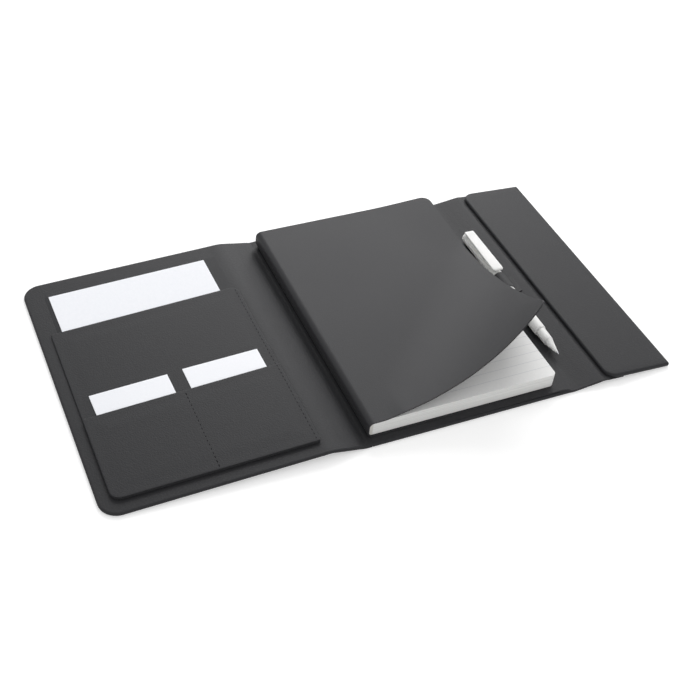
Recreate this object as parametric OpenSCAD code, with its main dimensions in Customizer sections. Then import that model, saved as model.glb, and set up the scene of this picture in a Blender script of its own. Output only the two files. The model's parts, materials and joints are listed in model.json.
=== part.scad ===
// Magnetic closure journal, lying open with its pen and inserts.
// Boards in one soft skin fold at four creases that run along Y: front cover, spine, back cover,
// closing strip and magnetic flap. Pockets line the front cover, a sleeve on the back cover holds
// a softcover notebook, and the pen lies in a loop on the closing strip. Near is -Y, far is +Y.

/* [Notebook] */
// Width of a page
page_w = 140; // [136:1:160]
// Height of a page
page_h = 210; // [190:1:240]
// Thickness of the page block
block_t = 11; // [6:0.5:16]
// Radius of the page block's corners at the fore edge
page_corner_r = 3; // [1:0.5:8]
// Thickness of the notebook's soft cover
cover_t = 0.8; // [0.5:0.1:1.2]
// How far the cover reaches past the pages at the fore edge
cover_overhang = 4.5; // [1:0.5:6]
// How far the cover reaches past the pages at head and foot
cover_margin = 0.75; // [0.25:0.25:2]
// Radius of the cover's corners at the fore edge
cover_corner_r = 7; // [3:0.5:12]
// Glue between the page block and the notebook's rounded spine
glue_t = 2.2; // [1.2:0.1:3]
// Length of the spine's leg that the front cover hinges on
hinge_leg = 1.6; // [1:0.1:3]

/* [Curl of the notebook's front cover] */
// Direction of the line where the curl starts, from +X towards +Y
curl_dir = 46.6; // [35:0.1:55]
// Radius that the lifted corner is rolled to
curl_r = 96; // [70:1:200]
// How far the curl starts before the spine end of the cover's near edge
curl_lead = 7.7; // [0:0.1:12]

/* [Wrapper] */
// Room around the pages at head and foot
wrap_margin = 7.5; // [5:0.5:15]
// Thickness of the soft outer skin
skin_t = 0.7; // [0.5:0.1:1]
// Thickness of the stiff boards
board_t = 1.4; // [1.2:0.1:2.5]
// Thickness of the lining
lining_t = 0.5; // [0.3:0.1:0.8]
// Thickness of the skin and lining pressed together in a crease
crease_t = 1; // [0.7:0.1:1.1]
// Half the width of a crease, between two boards
crease_half = 2.6; // [2.2:0.1:4]
// Radius of the line scored along each crease
score_r = 0.35; // [0.2:0.05:0.5]
// Width of the skin's turned-in hem
hem_w = 14; // [13:0.5:20]
// Radius of the front cover's free corners
corner_r = 13; // [5:0.5:13]
// Height of the ridge that the stiff front crease holds up
ridge_h = 4.6; // [1:0.1:8]
// Room between the notebook and the spine when closed
notebook_gap = 2.2; // [1:0.1:5]
// Room above the notebook and the pockets when closed
closing_slack = 5.9; // [2:0.1:10]
// Room between the front cover's free edge and the foot of the standing strip
free_edge_gap = 5.1; // [0.5:0.1:8]
// How far the strip leans out over the pen when closed
closing_lean = 15; // [0:1:25]
// How far the closed front cover slopes down to its free edge
closing_slope = 1.9; // [0:0.1:2]

/* [Pockets] */
// Front cover's free edge to the pockets
pocket_side = 9; // [5:0.5:12]
// Front cover's near edge to the pockets
pocket_foot = 10; // [5:0.5:15]
// Height of the document pocket
pocket_h = 162.4; // [120:0.2:180]
// Height of the card pocket
card_pocket_h = 75.4; // [50:0.2:84]
// Thickness of a pocket's sheet
pocket_t = 0.8; // [0.5:0.1:1]
// Width of the pockets' glued and sewn seams
seam_w = 7.6; // [5:0.1:9]
// Radius of the pockets' near free corner
pocket_corner_r = 7; // [3:0.5:12]
// Length of the paper insert
paper_l = 192; // [170:1:200]
// Thickness of the folded paper insert
paper_t = 0.4; // [0.2:0.1:0.8]
// Play of the paper insert between the pocket's seams
paper_play = 7.2; // [2:0.1:20]
// Width of a card
card_w = 55; // [50:0.5:57]
// Length of a card
card_l = 85; // [80:0.5:95]
// Thickness of a card
card_t = 0.5; // [0.3:0.1:0.8]
// Play of a card between the seams of its slot
card_play = 4.2; // [1:0.1:6]

/* [Notebook sleeve] */
// Width of the sleeve that holds the notebook's back cover
sleeve_w = 100; // [60:1:120]
// Thickness of the sleeve's sheet
sleeve_t = 0.5; // [0.3:0.1:0.8]
// Wrapper's edge to the sleeve at head and foot
sleeve_end = 1.5; // [0.5:0.25:3]

/* [Flap] */
// Height that the open strip lifts the flap's crease to
flap_ridge_h = 3.2; // [0:0.1:8]
// Flap's crease to its free edge
flap_w = 56; // [40:0.5:80]
// Thickness of the flap's board
flap_board_t = 2.3; // [2.2:0.1:4]
// Radius of the facing's corners beside the crease
flap_corner_r = 9; // [4:0.5:15]
// Number of magnets
magnet_count = 4; // [2:1:5]
// Distance between magnets
magnet_pitch = 48; // [30:1:50]
// Flap's free edge to the magnets' centres
magnet_edge = 13; // [10:0.5:20]
// Diameter of a magnet
magnet_d = 12; // [8:0.5:14]
// Thickness of a magnet
magnet_t = 1.8; // [1:0.1:2]
// Diameter of a steel keeper in the front cover
keeper_d = 14; // [8:0.5:16]
// Thickness of a steel keeper
keeper_t = 1; // [0.5:0.1:1.1]

/* [Pen] */
// Diameter of the barrel
pen_d = 8.8; // [7:0.1:11]
// Length of the pen
pen_l = 142; // [125:1:150]
// Length of the writing point that shows
point_l = 2.4; // [1.5:0.1:4]
// Radius of the writing point at the nose
point_r = 0.8; // [0.5:0.1:1]
// Length of the nose cone
nose_l = 11.6; // [8:0.2:16]
// Radius of the nose cone where it meets the grip
nose_r = 3.4; // [2.5:0.1:3.4]
// Length of the grip
grip_l = 11.5; // [8:0.5:30]
// Radius of the rounded top of the barrel
crown_r = 2; // [0.5:0.1:2.2]
// Length of the clip
clip_l = 51; // [35:1:60]
// Width of the clip at its root
clip_w = 7.8; // [4:0.1:9]
// Width of the clip at its free end
clip_end_w = 8.8; // [3.5:0.1:9]
// Radius of the corners at the clip's free end
clip_toe_r = 1.5; // [0.5:0.1:1.7]
// Thickness of the clip
clip_t = 1.6; // [0.8:0.1:2]
// Space between the clip and the barrel
clip_gap = 0.6; // [0.5:0.1:1.5]
// Length of the clip's root
root_l = 7; // [4:0.5:10]
// How far the clip is turned from straight up, towards the flap
clip_turn = 8; // [0:1:40]
// Thickness of the pen loop's band
loop_t = 0.5; // [0.3:0.1:0.8]
// Length of the pen loop along the pen
loop_l = 17; // [10:0.5:25]
// Width of the loop's sewn tab
loop_tab = 7; // [4:0.5:8]
// Space between the clip's end and the loop
clip_seat = 1.5; // [0.5:0.1:4]

/* [Fits] */
// Clearance of pieces that slide or drop into each other
slip = 0.1; // [0.05:0.01:0.1]
// Clearance of pieces that close on each other
fold_gap = 0.3; // [0.2:0.05:1]

/* [Hidden] */
$fn = 64;
skin_colour = "#4b4b4d";
lining_colour = "#525254";
pocket_colour = "#4e4e50";
cover_colour = "#555557";
board_colour = "#9a948a";
page_colour = "#eeeeec";
pen_colour = "#f4f4f2";
metal_colour = "#b9bcc0";
// Layers of the wrapper, counted up from its outer face
panel_t = skin_t + board_t + lining_t;
strip_t = skin_t + lining_t;
flap_t = flap_board_t + 2 * skin_t;
wrap_h = page_h + 2 * wrap_margin;
half_h = wrap_h / 2;
// Levels of the notebook on the back cover
sleeve_z = panel_t + cover_t + slip;
block_z = sleeve_z + sleeve_t + slip;
notebook_top = block_z + block_t + slip + cover_t;
notebook_t = notebook_top - panel_t;
// Levels of the pockets on the front cover
paper_sheet_z = panel_t + paper_t + slip;
card_z = paper_sheet_z + pocket_t;
card_sheet_z = card_z + card_t + slip;
pockets_top = card_sheet_z + pocket_t;
// Pen and loop on the closing strip, over the sleeve's edge when the strip stands up
pen_r = pen_d / 2;
loop_ir = pen_r + slip;
loop_or = loop_ir + loop_t;
pen_z = strip_t + loop_or;
pen_rise = pen_z - crease_t;
pen_x = (sleeve_z + sleeve_t + fold_gap + loop_or - crease_t - pen_rise * sin(closing_lean))
        / cos(closing_lean);
pen_tip_y = loop_l / 2 + clip_seat + clip_l - pen_l;
// Corner of the clip that comes nearest to the pages when closed, from the closing crease
clip_out = pen_r + clip_gap + clip_t;
clip_half = max(clip_w, clip_end_w) / 2;
clip_near_x = pen_x + clip_out * sin(clip_turn) - clip_half * cos(clip_turn);
clip_near_z = pen_rise + clip_out * cos(clip_turn) + clip_half * sin(clip_turn);
clip_reach = clip_near_z * cos(closing_lean) - clip_near_x * sin(closing_lean);
// Notebook along X, from the spine crease
spine_round = cover_t + glue_t;
notebook_x = panel_t - crease_t + notebook_gap;
block_x = notebook_x + spine_round;
cover_end_x = block_x + page_w + cover_overhang;
cover_h = page_h + 2 * cover_margin;
leg_end = spine_round + hinge_leg;
hinge_x = notebook_x + leg_end;
// Widths between creases, so that the wrapper closes around the notebook, pockets and pen
spine_w = notebook_top + pockets_top + closing_slack - 2 * crease_t;
back_w = block_x + page_w + clip_reach + fold_gap;
front_w = back_w - (strip_t - crease_t) - free_edge_gap;
strip_w = (spine_w + flap_t + fold_gap - (back_w - flap_w) * sin(closing_slope))
          / (cos(closing_lean) + sin(closing_lean) * sin(closing_slope));
// Rest pose: the spine and the strip lean up to a ridge on either side of the back cover, and the
// front cover and the flap slope down from it to their free edges
spine_lean = asin(ridge_h / spine_w);
front_tilt = asin(ridge_h / front_w);
strip_lean = asin(flap_ridge_h / strip_w);
flap_tilt = asin(flap_ridge_h / flap_w);
ridge_dx = spine_w * cos(spine_lean);
front_dx = front_w * cos(front_tilt);
strip_dx = strip_w * cos(strip_lean);
flap_dx = flap_w * cos(flap_tilt);
span_x = front_dx + ridge_dx + back_w + strip_dx + flap_dx;
ridge_x = front_dx - span_x / 2;
spine_x = ridge_x + ridge_dx;
closing_x = spine_x + back_w;
flap_x = closing_x + strip_dx;
// Pockets on the front cover, from its crease
pocket_x = pocket_side - front_w;
pocket_end_x = -crease_half;
pocket_y = pocket_foot - half_h;
slot_x = pocket_x + seam_w;
slot_y = pocket_y + seam_w;
slot_w = pocket_end_x - pocket_x - 2 * seam_w;
// Card slots side by side, with three seams that share the rest of the width
card_slot_w = card_w + card_play;
card_seam_w = (pocket_end_x - pocket_x - 2 * card_slot_w) / 3;
card_pitch = card_slot_w + card_seam_w;
paper_w = slot_w - paper_play;
// Magnets face the keepers when the flap is shut
magnet_x = flap_w - magnet_edge;
keeper_x = magnet_x - back_w - strip_w * sin(closing_lean);
// Cut past a face, so that no skin is left
cut = 1;
// Columns and rows of the curled cover's mesh
curl_cols = 18;
curl_corner_cols = 5;
curl_rows = 22;

// Frames of the wrapper's panels: origin on the crease, outer face at z = 0
module on_front() {
  translate([ridge_x, 0, crease_t + ridge_h])
    rotate([0, -front_tilt, 0])
      translate([0, 0, -crease_t])
        children();
}
module on_spine() {
  translate([spine_x, 0, crease_t])
    rotate([0, spine_lean, 0])
      translate([0, 0, -crease_t])
        children();
}
module on_back() {
  translate([spine_x, 0, 0])
    children();
}
module on_strip() {
  translate([closing_x, 0, crease_t])
    rotate([0, -strip_lean, 0])
      translate([0, 0, -crease_t])
        children();
}
module on_flap() {
  translate([flap_x, 0, crease_t + flap_ridge_h])
    rotate([0, flap_tilt, 0])
      translate([0, 0, -crease_t])
        children();
}
// Frame of the pen: origin at its tip, z along the pen
module on_pen() {
  on_strip()
    translate([pen_x, pen_tip_y, pen_z])
      rotate([-90, 0, 0])
        children();
}
// Profile in X and Z, carried along Y
module along_y(length) {
  rotate([90, 0, 0])
    linear_extrude(length, center = true)
      children();
}

// Plan of a panel between two places on X
module plan(x0, x1, half) {
  translate([min(x0, x1), -half])
    square([abs(x1 - x0), 2 * half]);
}
// Plan of a panel whose corners at its free end are round
module round_plan(free_x, fixed_x, half, r) {
  inner_x = free_x + sign(fixed_x - free_x) * r;
  plan(inner_x, fixed_x, half);
  plan(free_x, inner_x, half - r);
  for (side = [-1, 1])
    translate([inner_x, side * (half - r)])
      circle(r);
}
module slab(x0, x1, half, z0, z1) {
  translate([0, 0, z0])
    linear_extrude(z1 - z0)
      plan(x0, x1, half);
}
module round_slab(free_x, fixed_x, half, r, z0, z1) {
  translate([0, 0, z0])
    linear_extrude(z1 - z0)
      round_plan(free_x, fixed_x, half, r);
}
// Upright strip profile with two round corners on its left side
module round_back(w, h, r) {
  intersection() {
    square([w, h]);
    union() {
      translate([r, 0])
        square([w, h]);
      translate([0, r])
        square([w, h - 2 * r]);
      for (z = [r, h - r])
        translate([r, z])
          circle(r);
    }
  }
}

// Skin of a panel between two creases, hemmed in over the core at head and foot
module hemmed_skin(x0, x1, core_t) {
  difference() {
    slab(x0, x1, half_h, 0, skin_t + core_t + lining_t);
    if (core_t > 0)
      slab(x0 - cut, x1 + cut, half_h - skin_t, skin_t, skin_t + core_t);
    slab(x0 - cut, x1 + cut, half_h - hem_w, skin_t + core_t / 2, panel_t + cut);
  }
}
module panel_board(x0, x1) {
  slab(x0, x1, half_h - skin_t - slip, skin_t, skin_t + board_t);
}
module panel_lining(x0, x1, core_t) {
  slab(x0, x1, half_h - hem_w, skin_t + core_t, skin_t + core_t + lining_t);
}
// Soft crease whose two halves rise from its axis, scored along the fold
module crease(left_rise, right_rise) {
  left = [-cos(left_rise), sin(left_rise)];
  right = [cos(right_rise), sin(right_rise)];
  left_up = [left.y, -left.x];
  right_up = [-right.y, right.x];
  mitre = (left_up + right_up) / (1 + left_up * right_up);
  color(skin_colour)
    along_y(wrap_h)
      difference() {
        polygon([
          left * crease_half, [0, 0], right * crease_half,
          right * crease_half - right_up * crease_t, -mitre * crease_t,
          left * crease_half - left_up * crease_t
        ]);
        circle(score_r);
      }
}
module magnet_row() {
  for (i = [0 : magnet_count - 1])
    translate([0, (i - (magnet_count - 1) / 2) * magnet_pitch, 0])
      children();
}

// Front cover
module front_skin() {
  core_top = skin_t + board_t;
  color(skin_colour)
    on_front()
      difference() {
        round_slab(-front_w, -crease_half, half_h, corner_r, 0, panel_t);
        round_slab(skin_t - front_w, 0, half_h - skin_t, corner_r - skin_t, skin_t, core_top);
        slab(hem_w - front_w, 0, half_h - hem_w, skin_t + board_t / 2, panel_t + cut);
      }
}
module front_board() {
  inset = skin_t + slip;
  color(board_colour)
    on_front()
      difference() {
        round_slab(inset - front_w, -crease_half, half_h - inset, corner_r - inset,
                   skin_t, skin_t + board_t);
        translate([keeper_x, 0, skin_t - cut])
          magnet_row()
            cylinder(d = keeper_d + 2 * slip, h = keeper_t + cut);
      }
}
module front_lining() {
  color(lining_colour)
    on_front()
      panel_lining(hem_w - front_w, -crease_half, board_t);
}
module keeper_plates() {
  color(metal_colour)
    on_front()
      translate([keeper_x, 0, skin_t])
        magnet_row()
          cylinder(d = keeper_d, h = keeper_t);
}
// Plan of a pocket of a given height, round at its near free corner
module pocket_plan(h) {
  inner_x = pocket_x + pocket_corner_r;
  translate([inner_x, pocket_y])
    square([pocket_end_x - inner_x, h]);
  translate([pocket_x, pocket_y + pocket_corner_r])
    square([pocket_corner_r, h - pocket_corner_r]);
  translate([inner_x, pocket_y + pocket_corner_r])
    circle(pocket_corner_r);
}
// Pocket sheet with its seams down to z0, open at the far edge, and slots of slot_t
module pocket(h, z0, slot_t, slots, width, seam) {
  color(pocket_colour)
    on_front()
      difference() {
        translate([0, 0, z0])
          linear_extrude(slot_t + pocket_t)
            pocket_plan(h);
        for (i = [0 : slots - 1])
          translate([pocket_x + seam + i * (width + seam), slot_y, z0 - cut])
            cube([width, h, slot_t + cut]);
      }
}
module document_pocket() {
  pocket(pocket_h, panel_t, paper_t + slip, 1, slot_w, seam_w);
}
module card_pocket() {
  pocket(card_pocket_h, card_z, card_t + slip, 2, card_slot_w, card_seam_w);
}
module paper_insert() {
  color("white")
    on_front()
      translate([slot_x + fold_gap, slot_y + fold_gap, panel_t])
        cube([paper_w, paper_l, paper_t]);
}
module card(place) {
  color("white")
    on_front()
      translate([pocket_x + card_seam_w + place * card_pitch + card_play / 2, slot_y + fold_gap, card_z])
        cube([card_w, card_l, card_t]);
}
module card_left() {
  card(0);
}
module card_right() {
  card(1);
}
module front_crease() {
  translate([ridge_x, 0, crease_t + ridge_h])
    crease(-front_tilt, -spine_lean);
}

// Spine
module spine_skin() {
  color(skin_colour)
    on_spine()
      hemmed_skin(crease_half - spine_w, -crease_half, board_t);
}
module spine_board() {
  color(board_colour)
    on_spine()
      panel_board(crease_half - spine_w, -crease_half);
}
module spine_lining() {
  color(lining_colour)
    on_spine()
      panel_lining(crease_half - spine_w, -crease_half, board_t);
}
module spine_crease() {
  translate([spine_x, 0, crease_t])
    crease(spine_lean, 0);
}

// Back cover
module back_skin() {
  color(skin_colour)
    on_back()
      hemmed_skin(crease_half, back_w - crease_half, board_t);
}
module back_board() {
  color(board_colour)
    on_back()
      panel_board(crease_half, back_w - crease_half);
}
module back_lining() {
  color(lining_colour)
    on_back()
      panel_lining(crease_half, back_w - crease_half, board_t);
}
// Sheet over the notebook's back cover, seamed at head, foot and fore edge, open at the spine
module notebook_sleeve() {
  sleeve_x = back_w - crease_half - sleeve_w;
  color(lining_colour)
    on_back()
      difference() {
        slab(sleeve_x, sleeve_x + sleeve_w, half_h - sleeve_end, panel_t, sleeve_z + sleeve_t);
        slab(sleeve_x - cut, cover_end_x + fold_gap, cover_h / 2 + fold_gap, panel_t - cut, sleeve_z);
      }
}

// Notebook
module notebook_back_cover() {
  color(cover_colour)
    on_back()
      round_slab(cover_end_x, hinge_x, cover_h / 2, cover_corner_r, panel_t, panel_t + cover_t);
}
module notebook_spine() {
  color(cover_colour)
    on_back()
      along_y(cover_h)
        translate([notebook_x, panel_t]) {
          difference() {
            round_back(leg_end, notebook_t, spine_round);
            translate([cover_t, cover_t])
              round_back(leg_end, notebook_t - 2 * cover_t, glue_t);
          }
          // Round bead that the front cover turns on
          translate([leg_end, notebook_t - cover_t / 2])
            circle(cover_t / 2 - slip);
        }
}
module binding_glue() {
  color("#d8d2c0")
    on_back()
      along_y(page_h)
        translate([notebook_x + cover_t, block_z])
          round_back(glue_t, block_t, glue_t);
}
module page_block() {
  color(page_colour)
    on_back()
      round_slab(block_x + page_w, block_x, page_h / 2, page_corner_r, block_z, block_z + block_t);
}

// Front cover of the notebook: a sheet rolled up at its near fore-edge corner, about a slanting
// line that runs just outside the near end of its hinge
sheet_x0 = hinge_x + cover_t / 2 + slip;
sheet_w = cover_end_x - sheet_x0;
curl_n = [sin(curl_dir), -cos(curl_dir)];
// Distance of a point past the line where the curl starts
function past(p) = (p - [sheet_x0, -cover_h / 2]) * curl_n + curl_lead;
// Point of the rolled sheet over p, at a depth under its outer face
function rolled(p, depth) =
  let (s = max(past(p), 0), turn = s / curl_r * 180 / PI,
       q = p + ((curl_r + depth) * sin(turn) - s) * curl_n)
  [q.x, q.y, notebook_top + curl_r - (curl_r + depth) * cos(turn)];
// Columns across the sheet: even ones, then ones that follow the round corners
function column_x(i) =
  i <= curl_cols ? sheet_x0 + (sheet_w - cover_corner_r) * i / curl_cols
                 : cover_end_x - cover_corner_r * (1 - sin((i - curl_cols) / curl_corner_cols * 90));
function column_half(i) =
  i <= curl_cols ? cover_h / 2
                 : cover_h / 2 - cover_corner_r * (1 - cos((i - curl_cols) / curl_corner_cols * 90));
module notebook_front_cover() {
  last = curl_cols + curl_corner_cols;
  points = [
    for (depth = [0, cover_t], i = [0 : last], j = [0 : curl_rows])
      rolled([column_x(i), column_half(i) * (2 * j / curl_rows - 1)], depth)
  ];
  layer = (last + 1) * (curl_rows + 1);
  function at(i, j, side) = side * layer + i * (curl_rows + 1) + j;
  // Two triangles of a four-sided cell, seen clockwise from outside
  function cell(a, b, c, d) = [[a, b, c], [a, c, d]];
  faces = concat(
    [for (i = [0 : last - 1], j = [0 : curl_rows - 1])
      each cell(at(i, j, 0), at(i, j + 1, 0), at(i + 1, j + 1, 0), at(i + 1, j, 0))],
    [for (i = [0 : last - 1], j = [0 : curl_rows - 1])
      each cell(at(i, j, 1), at(i + 1, j, 1), at(i + 1, j + 1, 1), at(i, j + 1, 1))],
    [for (i = [0 : last - 1])
      each cell(at(i, 0, 0), at(i + 1, 0, 0), at(i + 1, 0, 1), at(i, 0, 1))],
    [for (i = [0 : last - 1])
      each cell(at(i, curl_rows, 0), at(i, curl_rows, 1), at(i + 1, curl_rows, 1),
                at(i + 1, curl_rows, 0))],
    [for (j = [0 : curl_rows - 1])
      each cell(at(0, j, 0), at(0, j, 1), at(0, j + 1, 1), at(0, j + 1, 0))],
    [for (j = [0 : curl_rows - 1])
      each cell(at(last, j, 0), at(last, j + 1, 0), at(last, j + 1, 1), at(last, j, 1))]
  );
  color(cover_colour)
    on_back()
      polyhedron(points, faces);
}

// Closing strip with its pen loop
module closing_crease() {
  translate([closing_x, 0, crease_t])
    crease(0, strip_lean);
}
module strip_skin() {
  color(skin_colour)
    on_strip()
      hemmed_skin(crease_half, strip_w - crease_half, 0);
}
module strip_lining() {
  color(lining_colour)
    on_strip()
      panel_lining(crease_half, strip_w - crease_half, 0);
}
// Band bent round the pen, its two ends sewn together in a tab
module pen_loop() {
  color(skin_colour)
    on_strip()
      translate([pen_x, 0, pen_z])
        along_y(loop_l)
          difference() {
            union() {
              circle(loop_or);
              translate([0, -loop_or])
                square([loop_or + loop_tab, 2 * loop_t]);
            }
            circle(loop_ir);
          }
}

// Flap
module flap_crease() {
  translate([flap_x, 0, crease_t + flap_ridge_h])
    crease(-strip_lean, -flap_tilt);
}
fold_r = flap_t / 2;
fold_x = flap_w - fold_r;
// Outer face, walls round the board and the folded free edge
module flap_skin() {
  facing_z = flap_t - skin_t;
  color(skin_colour)
    on_flap() {
      slab(crease_half, fold_x, half_h, 0, skin_t);
      difference() {
        round_slab(crease_half, fold_x, half_h, flap_corner_r, skin_t, facing_z);
        round_slab(crease_half + skin_t, fold_x + cut, half_h - skin_t, flap_corner_r - skin_t,
                   skin_t, facing_z);
      }
      translate([fold_x, 0, fold_r])
        along_y(wrap_h)
          intersection() {
            circle(fold_r);
            translate([0, -fold_r])
              square([fold_r, flap_t]);
          }
    }
}
module flap_board() {
  inset = skin_t + slip;
  color(board_colour)
    on_flap()
      difference() {
        round_slab(crease_half + inset, fold_x - slip, half_h - inset, flap_corner_r - inset,
                   skin_t, flap_t - skin_t);
        translate([magnet_x, 0, flap_t - skin_t - magnet_t])
          magnet_row()
            cylinder(d = magnet_d + 2 * slip, h = magnet_t + cut);
      }
}
module flap_facing() {
  color(skin_colour)
    on_flap()
      round_slab(crease_half, fold_x, half_h, flap_corner_r, flap_t - skin_t, flap_t);
}
module flap_magnets() {
  color(metal_colour)
    on_flap()
      translate([magnet_x, 0, flap_t - skin_t - magnet_t])
        magnet_row()
          cylinder(d = magnet_d, h = magnet_t);
}

// Pen
grip_z = point_l + nose_l;
barrel_z = grip_z + grip_l;
module pen_barrel() {
  color(pen_colour)
    on_pen()
      rotate_extrude()
        union() {
          translate([0, barrel_z])
            square([pen_r, pen_l - barrel_z - crown_r]);
          translate([0, pen_l - crown_r])
            square([pen_r - crown_r, crown_r]);
          translate([pen_r - crown_r, pen_l - crown_r])
            intersection() {
              circle(crown_r);
              square(crown_r);
            }
        }
}
// Spring clip: a tapered blade that stands off the barrel, with a root and a rounded toe
module pen_clip() {
  blade_x = pen_r + clip_gap;
  toe_z = pen_l - clip_l;
  toe_half = clip_end_w / 2;
  root_z = pen_l - crown_r - root_l;
  color(pen_colour)
    on_pen()
      rotate([0, 0, clip_turn - 90])
        difference() {
          intersection() {
            along_y(2 * clip_half) {
              translate([blade_x, toe_z])
                square([clip_t, clip_l - crown_r]);
              translate([0, root_z])
                square([blade_x, root_l]);
            }
            rotate([90, 0, 90])
              linear_extrude(clip_out) {
                for (side = [-1, 1])
                  translate([side * (toe_half - clip_toe_r), toe_z + clip_toe_r])
                    circle(clip_toe_r);
                polygon([
                  [toe_half - clip_toe_r, toe_z], [toe_half, toe_z + clip_toe_r],
                  [clip_w / 2, root_z], [clip_w / 2, pen_l], [-clip_w / 2, pen_l], [-clip_w / 2, root_z],
                  [-toe_half, toe_z + clip_toe_r], [clip_toe_r - toe_half, toe_z]
                ]);
              }
          }
          cylinder(r = pen_r, h = pen_l);
        }
}
module pen_grip() {
  color(pen_colour)
    on_pen()
      translate([0, 0, grip_z])
        cylinder(r1 = nose_r + slip, r2 = pen_r - 2 * slip, h = grip_l);
}
module pen_nose() {
  color(pen_colour)
    on_pen()
      translate([0, 0, point_l])
        cylinder(r1 = point_r + slip, r2 = nose_r, h = nose_l);
}
module pen_point() {
  color(metal_colour)
    on_pen()
      cylinder(r1 = point_r / 2, r2 = point_r, h = point_l);
}

front_skin();
front_board();
front_lining();
keeper_plates();
document_pocket();
card_pocket();
paper_insert();
card_left();
card_right();
front_crease();
spine_skin();
spine_board();
spine_lining();
spine_crease();
back_skin();
back_board();
back_lining();
notebook_sleeve();
notebook_back_cover();
notebook_spine();
binding_glue();
page_block();
notebook_front_cover();
closing_crease();
strip_skin();
strip_lining();
pen_loop();
flap_crease();
flap_skin();
flap_board();
flap_facing();
flap_magnets();
pen_barrel();
pen_clip();
pen_grip();
pen_nose();
pen_point();
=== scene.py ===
import json
import math
import random
import bmesh
import bpy
from mathutils import Matrix, Quaternion, Vector


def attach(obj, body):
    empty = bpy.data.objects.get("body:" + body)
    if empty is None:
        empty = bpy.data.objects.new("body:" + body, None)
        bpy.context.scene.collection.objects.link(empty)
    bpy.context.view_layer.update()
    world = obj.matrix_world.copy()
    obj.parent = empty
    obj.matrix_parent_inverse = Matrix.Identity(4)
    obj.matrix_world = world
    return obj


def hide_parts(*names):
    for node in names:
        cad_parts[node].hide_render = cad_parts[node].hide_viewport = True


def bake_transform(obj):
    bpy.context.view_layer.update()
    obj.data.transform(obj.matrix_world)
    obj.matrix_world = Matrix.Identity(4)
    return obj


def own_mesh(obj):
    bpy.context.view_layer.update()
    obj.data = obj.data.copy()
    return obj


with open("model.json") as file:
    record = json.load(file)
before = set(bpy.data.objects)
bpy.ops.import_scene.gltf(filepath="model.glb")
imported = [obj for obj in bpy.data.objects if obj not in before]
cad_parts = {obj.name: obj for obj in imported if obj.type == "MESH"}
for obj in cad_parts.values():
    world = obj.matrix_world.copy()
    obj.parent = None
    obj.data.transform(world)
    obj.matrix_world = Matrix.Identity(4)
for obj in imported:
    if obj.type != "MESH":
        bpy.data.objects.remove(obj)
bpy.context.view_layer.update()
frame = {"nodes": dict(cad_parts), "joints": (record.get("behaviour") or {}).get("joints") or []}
print("frame loaded:", len(frame["nodes"]), "nodes")

mm = 0.001  # mesh sizes are in millimetres and are scaled once; finishes and lamps are in metres


# shader maths on sockets

class Wire:
    def __init__(self, tree, socket=None):
        self.tree = tree
        self.socket = socket

    def make(self, kind, settings=None, sockets=None, out=0):
        node = self.tree.nodes.new(kind)
        for key, value in (settings or {}).items():  # settings first, they change the sockets
            setattr(node, key, value)
        for key, value in (sockets or {}).items():
            if isinstance(value, Wire):
                self.tree.links.new(value.socket, node.inputs[key])
            else:
                node.inputs[key].default_value = value
        return Wire(self.tree, node.outputs[out])

    def maths(self, operation, a, b=0.0):
        return self.make("ShaderNodeMath", {"operation": operation}, {0: a, 1: b})

    def __add__(self, other):
        return self.maths("ADD", self, other)

    def __radd__(self, other):
        return self.maths("ADD", other, self)

    def __sub__(self, other):
        return self.maths("SUBTRACT", self, other)

    def __rsub__(self, other):
        return self.maths("SUBTRACT", other, self)

    def __mul__(self, other):
        return self.maths("MULTIPLY", self, other)

    def __rmul__(self, other):
        return self.maths("MULTIPLY", other, self)

    def __truediv__(self, other):
        return self.maths("DIVIDE", self, other)

    def __mod__(self, other):
        return self.maths("FLOORED_MODULO", self, other)

    def __lt__(self, other):
        return self.maths("LESS_THAN", self, other)

    def __gt__(self, other):
        return self.maths("GREATER_THAN", self, other)

    def __abs__(self):
        return self.maths("ABSOLUTE", self)

    def noise(self, scale, detail=2.0):
        return self.make("ShaderNodeTexNoise", {}, {"Vector": self, "Scale": scale, "Detail": detail})

    def stretched(self, scale):
        return self.make("ShaderNodeVectorMath", {"operation": "MULTIPLY"}, {0: self, 1: scale})

    def axes(self):
        parts = self.make("ShaderNodeSeparateXYZ", {}, {0: self})
        return [Wire(self.tree, socket) for socket in parts.socket.node.outputs]

    def blendTo(self, low, high):  # self is the factor between two colours
        return self.make("ShaderNodeMix", {"data_type": "RGBA"}, {0: self, 6: low, 7: high}, out=2)

    def bump(self, strength, distance):
        return self.make("ShaderNodeBump", {}, {"Height": self, "Strength": strength, "Distance": distance})


def linear(level):
    share = level / 255
    return share / 12.92 if share <= 0.04045 else ((share + 0.055) / 1.055) ** 2.4


def srgb(red, green, blue):
    return linear(red), linear(green), linear(blue), 1.0


def newFinish(name, build, constants=None):
    material = bpy.data.materials.new(name)
    material.use_nodes = True
    tree = material.node_tree
    shader = tree.nodes["Principled BSDF"]
    for socket, value in (constants or {}).items():
        shader.inputs[socket].default_value = value
    spot = Wire(tree).make("ShaderNodeTexCoord", out="Object")
    for socket, wire in build(spot).items():
        tree.links.new(wire.socket, shader.inputs[socket])
    return material


# finishes

# dark and light are levels out of 255, grain is the number of pebbles in a metre
skinLooks = {
    "outer": {"dark": 40, "light": 53, "grain": 900.0, "rough": 0.46, "bump": 0.34, "gloss": 0.14},
    "lining": {"dark": 41, "light": 51, "grain": 1500.0, "rough": 0.56, "bump": 0.18, "gloss": 0.14},
    "pocket": {"dark": 39, "light": 52, "grain": 950.0, "rough": 0.48, "bump": 0.32, "gloss": 0.15},
    "notebook": {"dark": 46, "light": 56, "grain": 1500.0, "rough": 0.48, "bump": 0.16, "gloss": 0.17},
}


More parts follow.
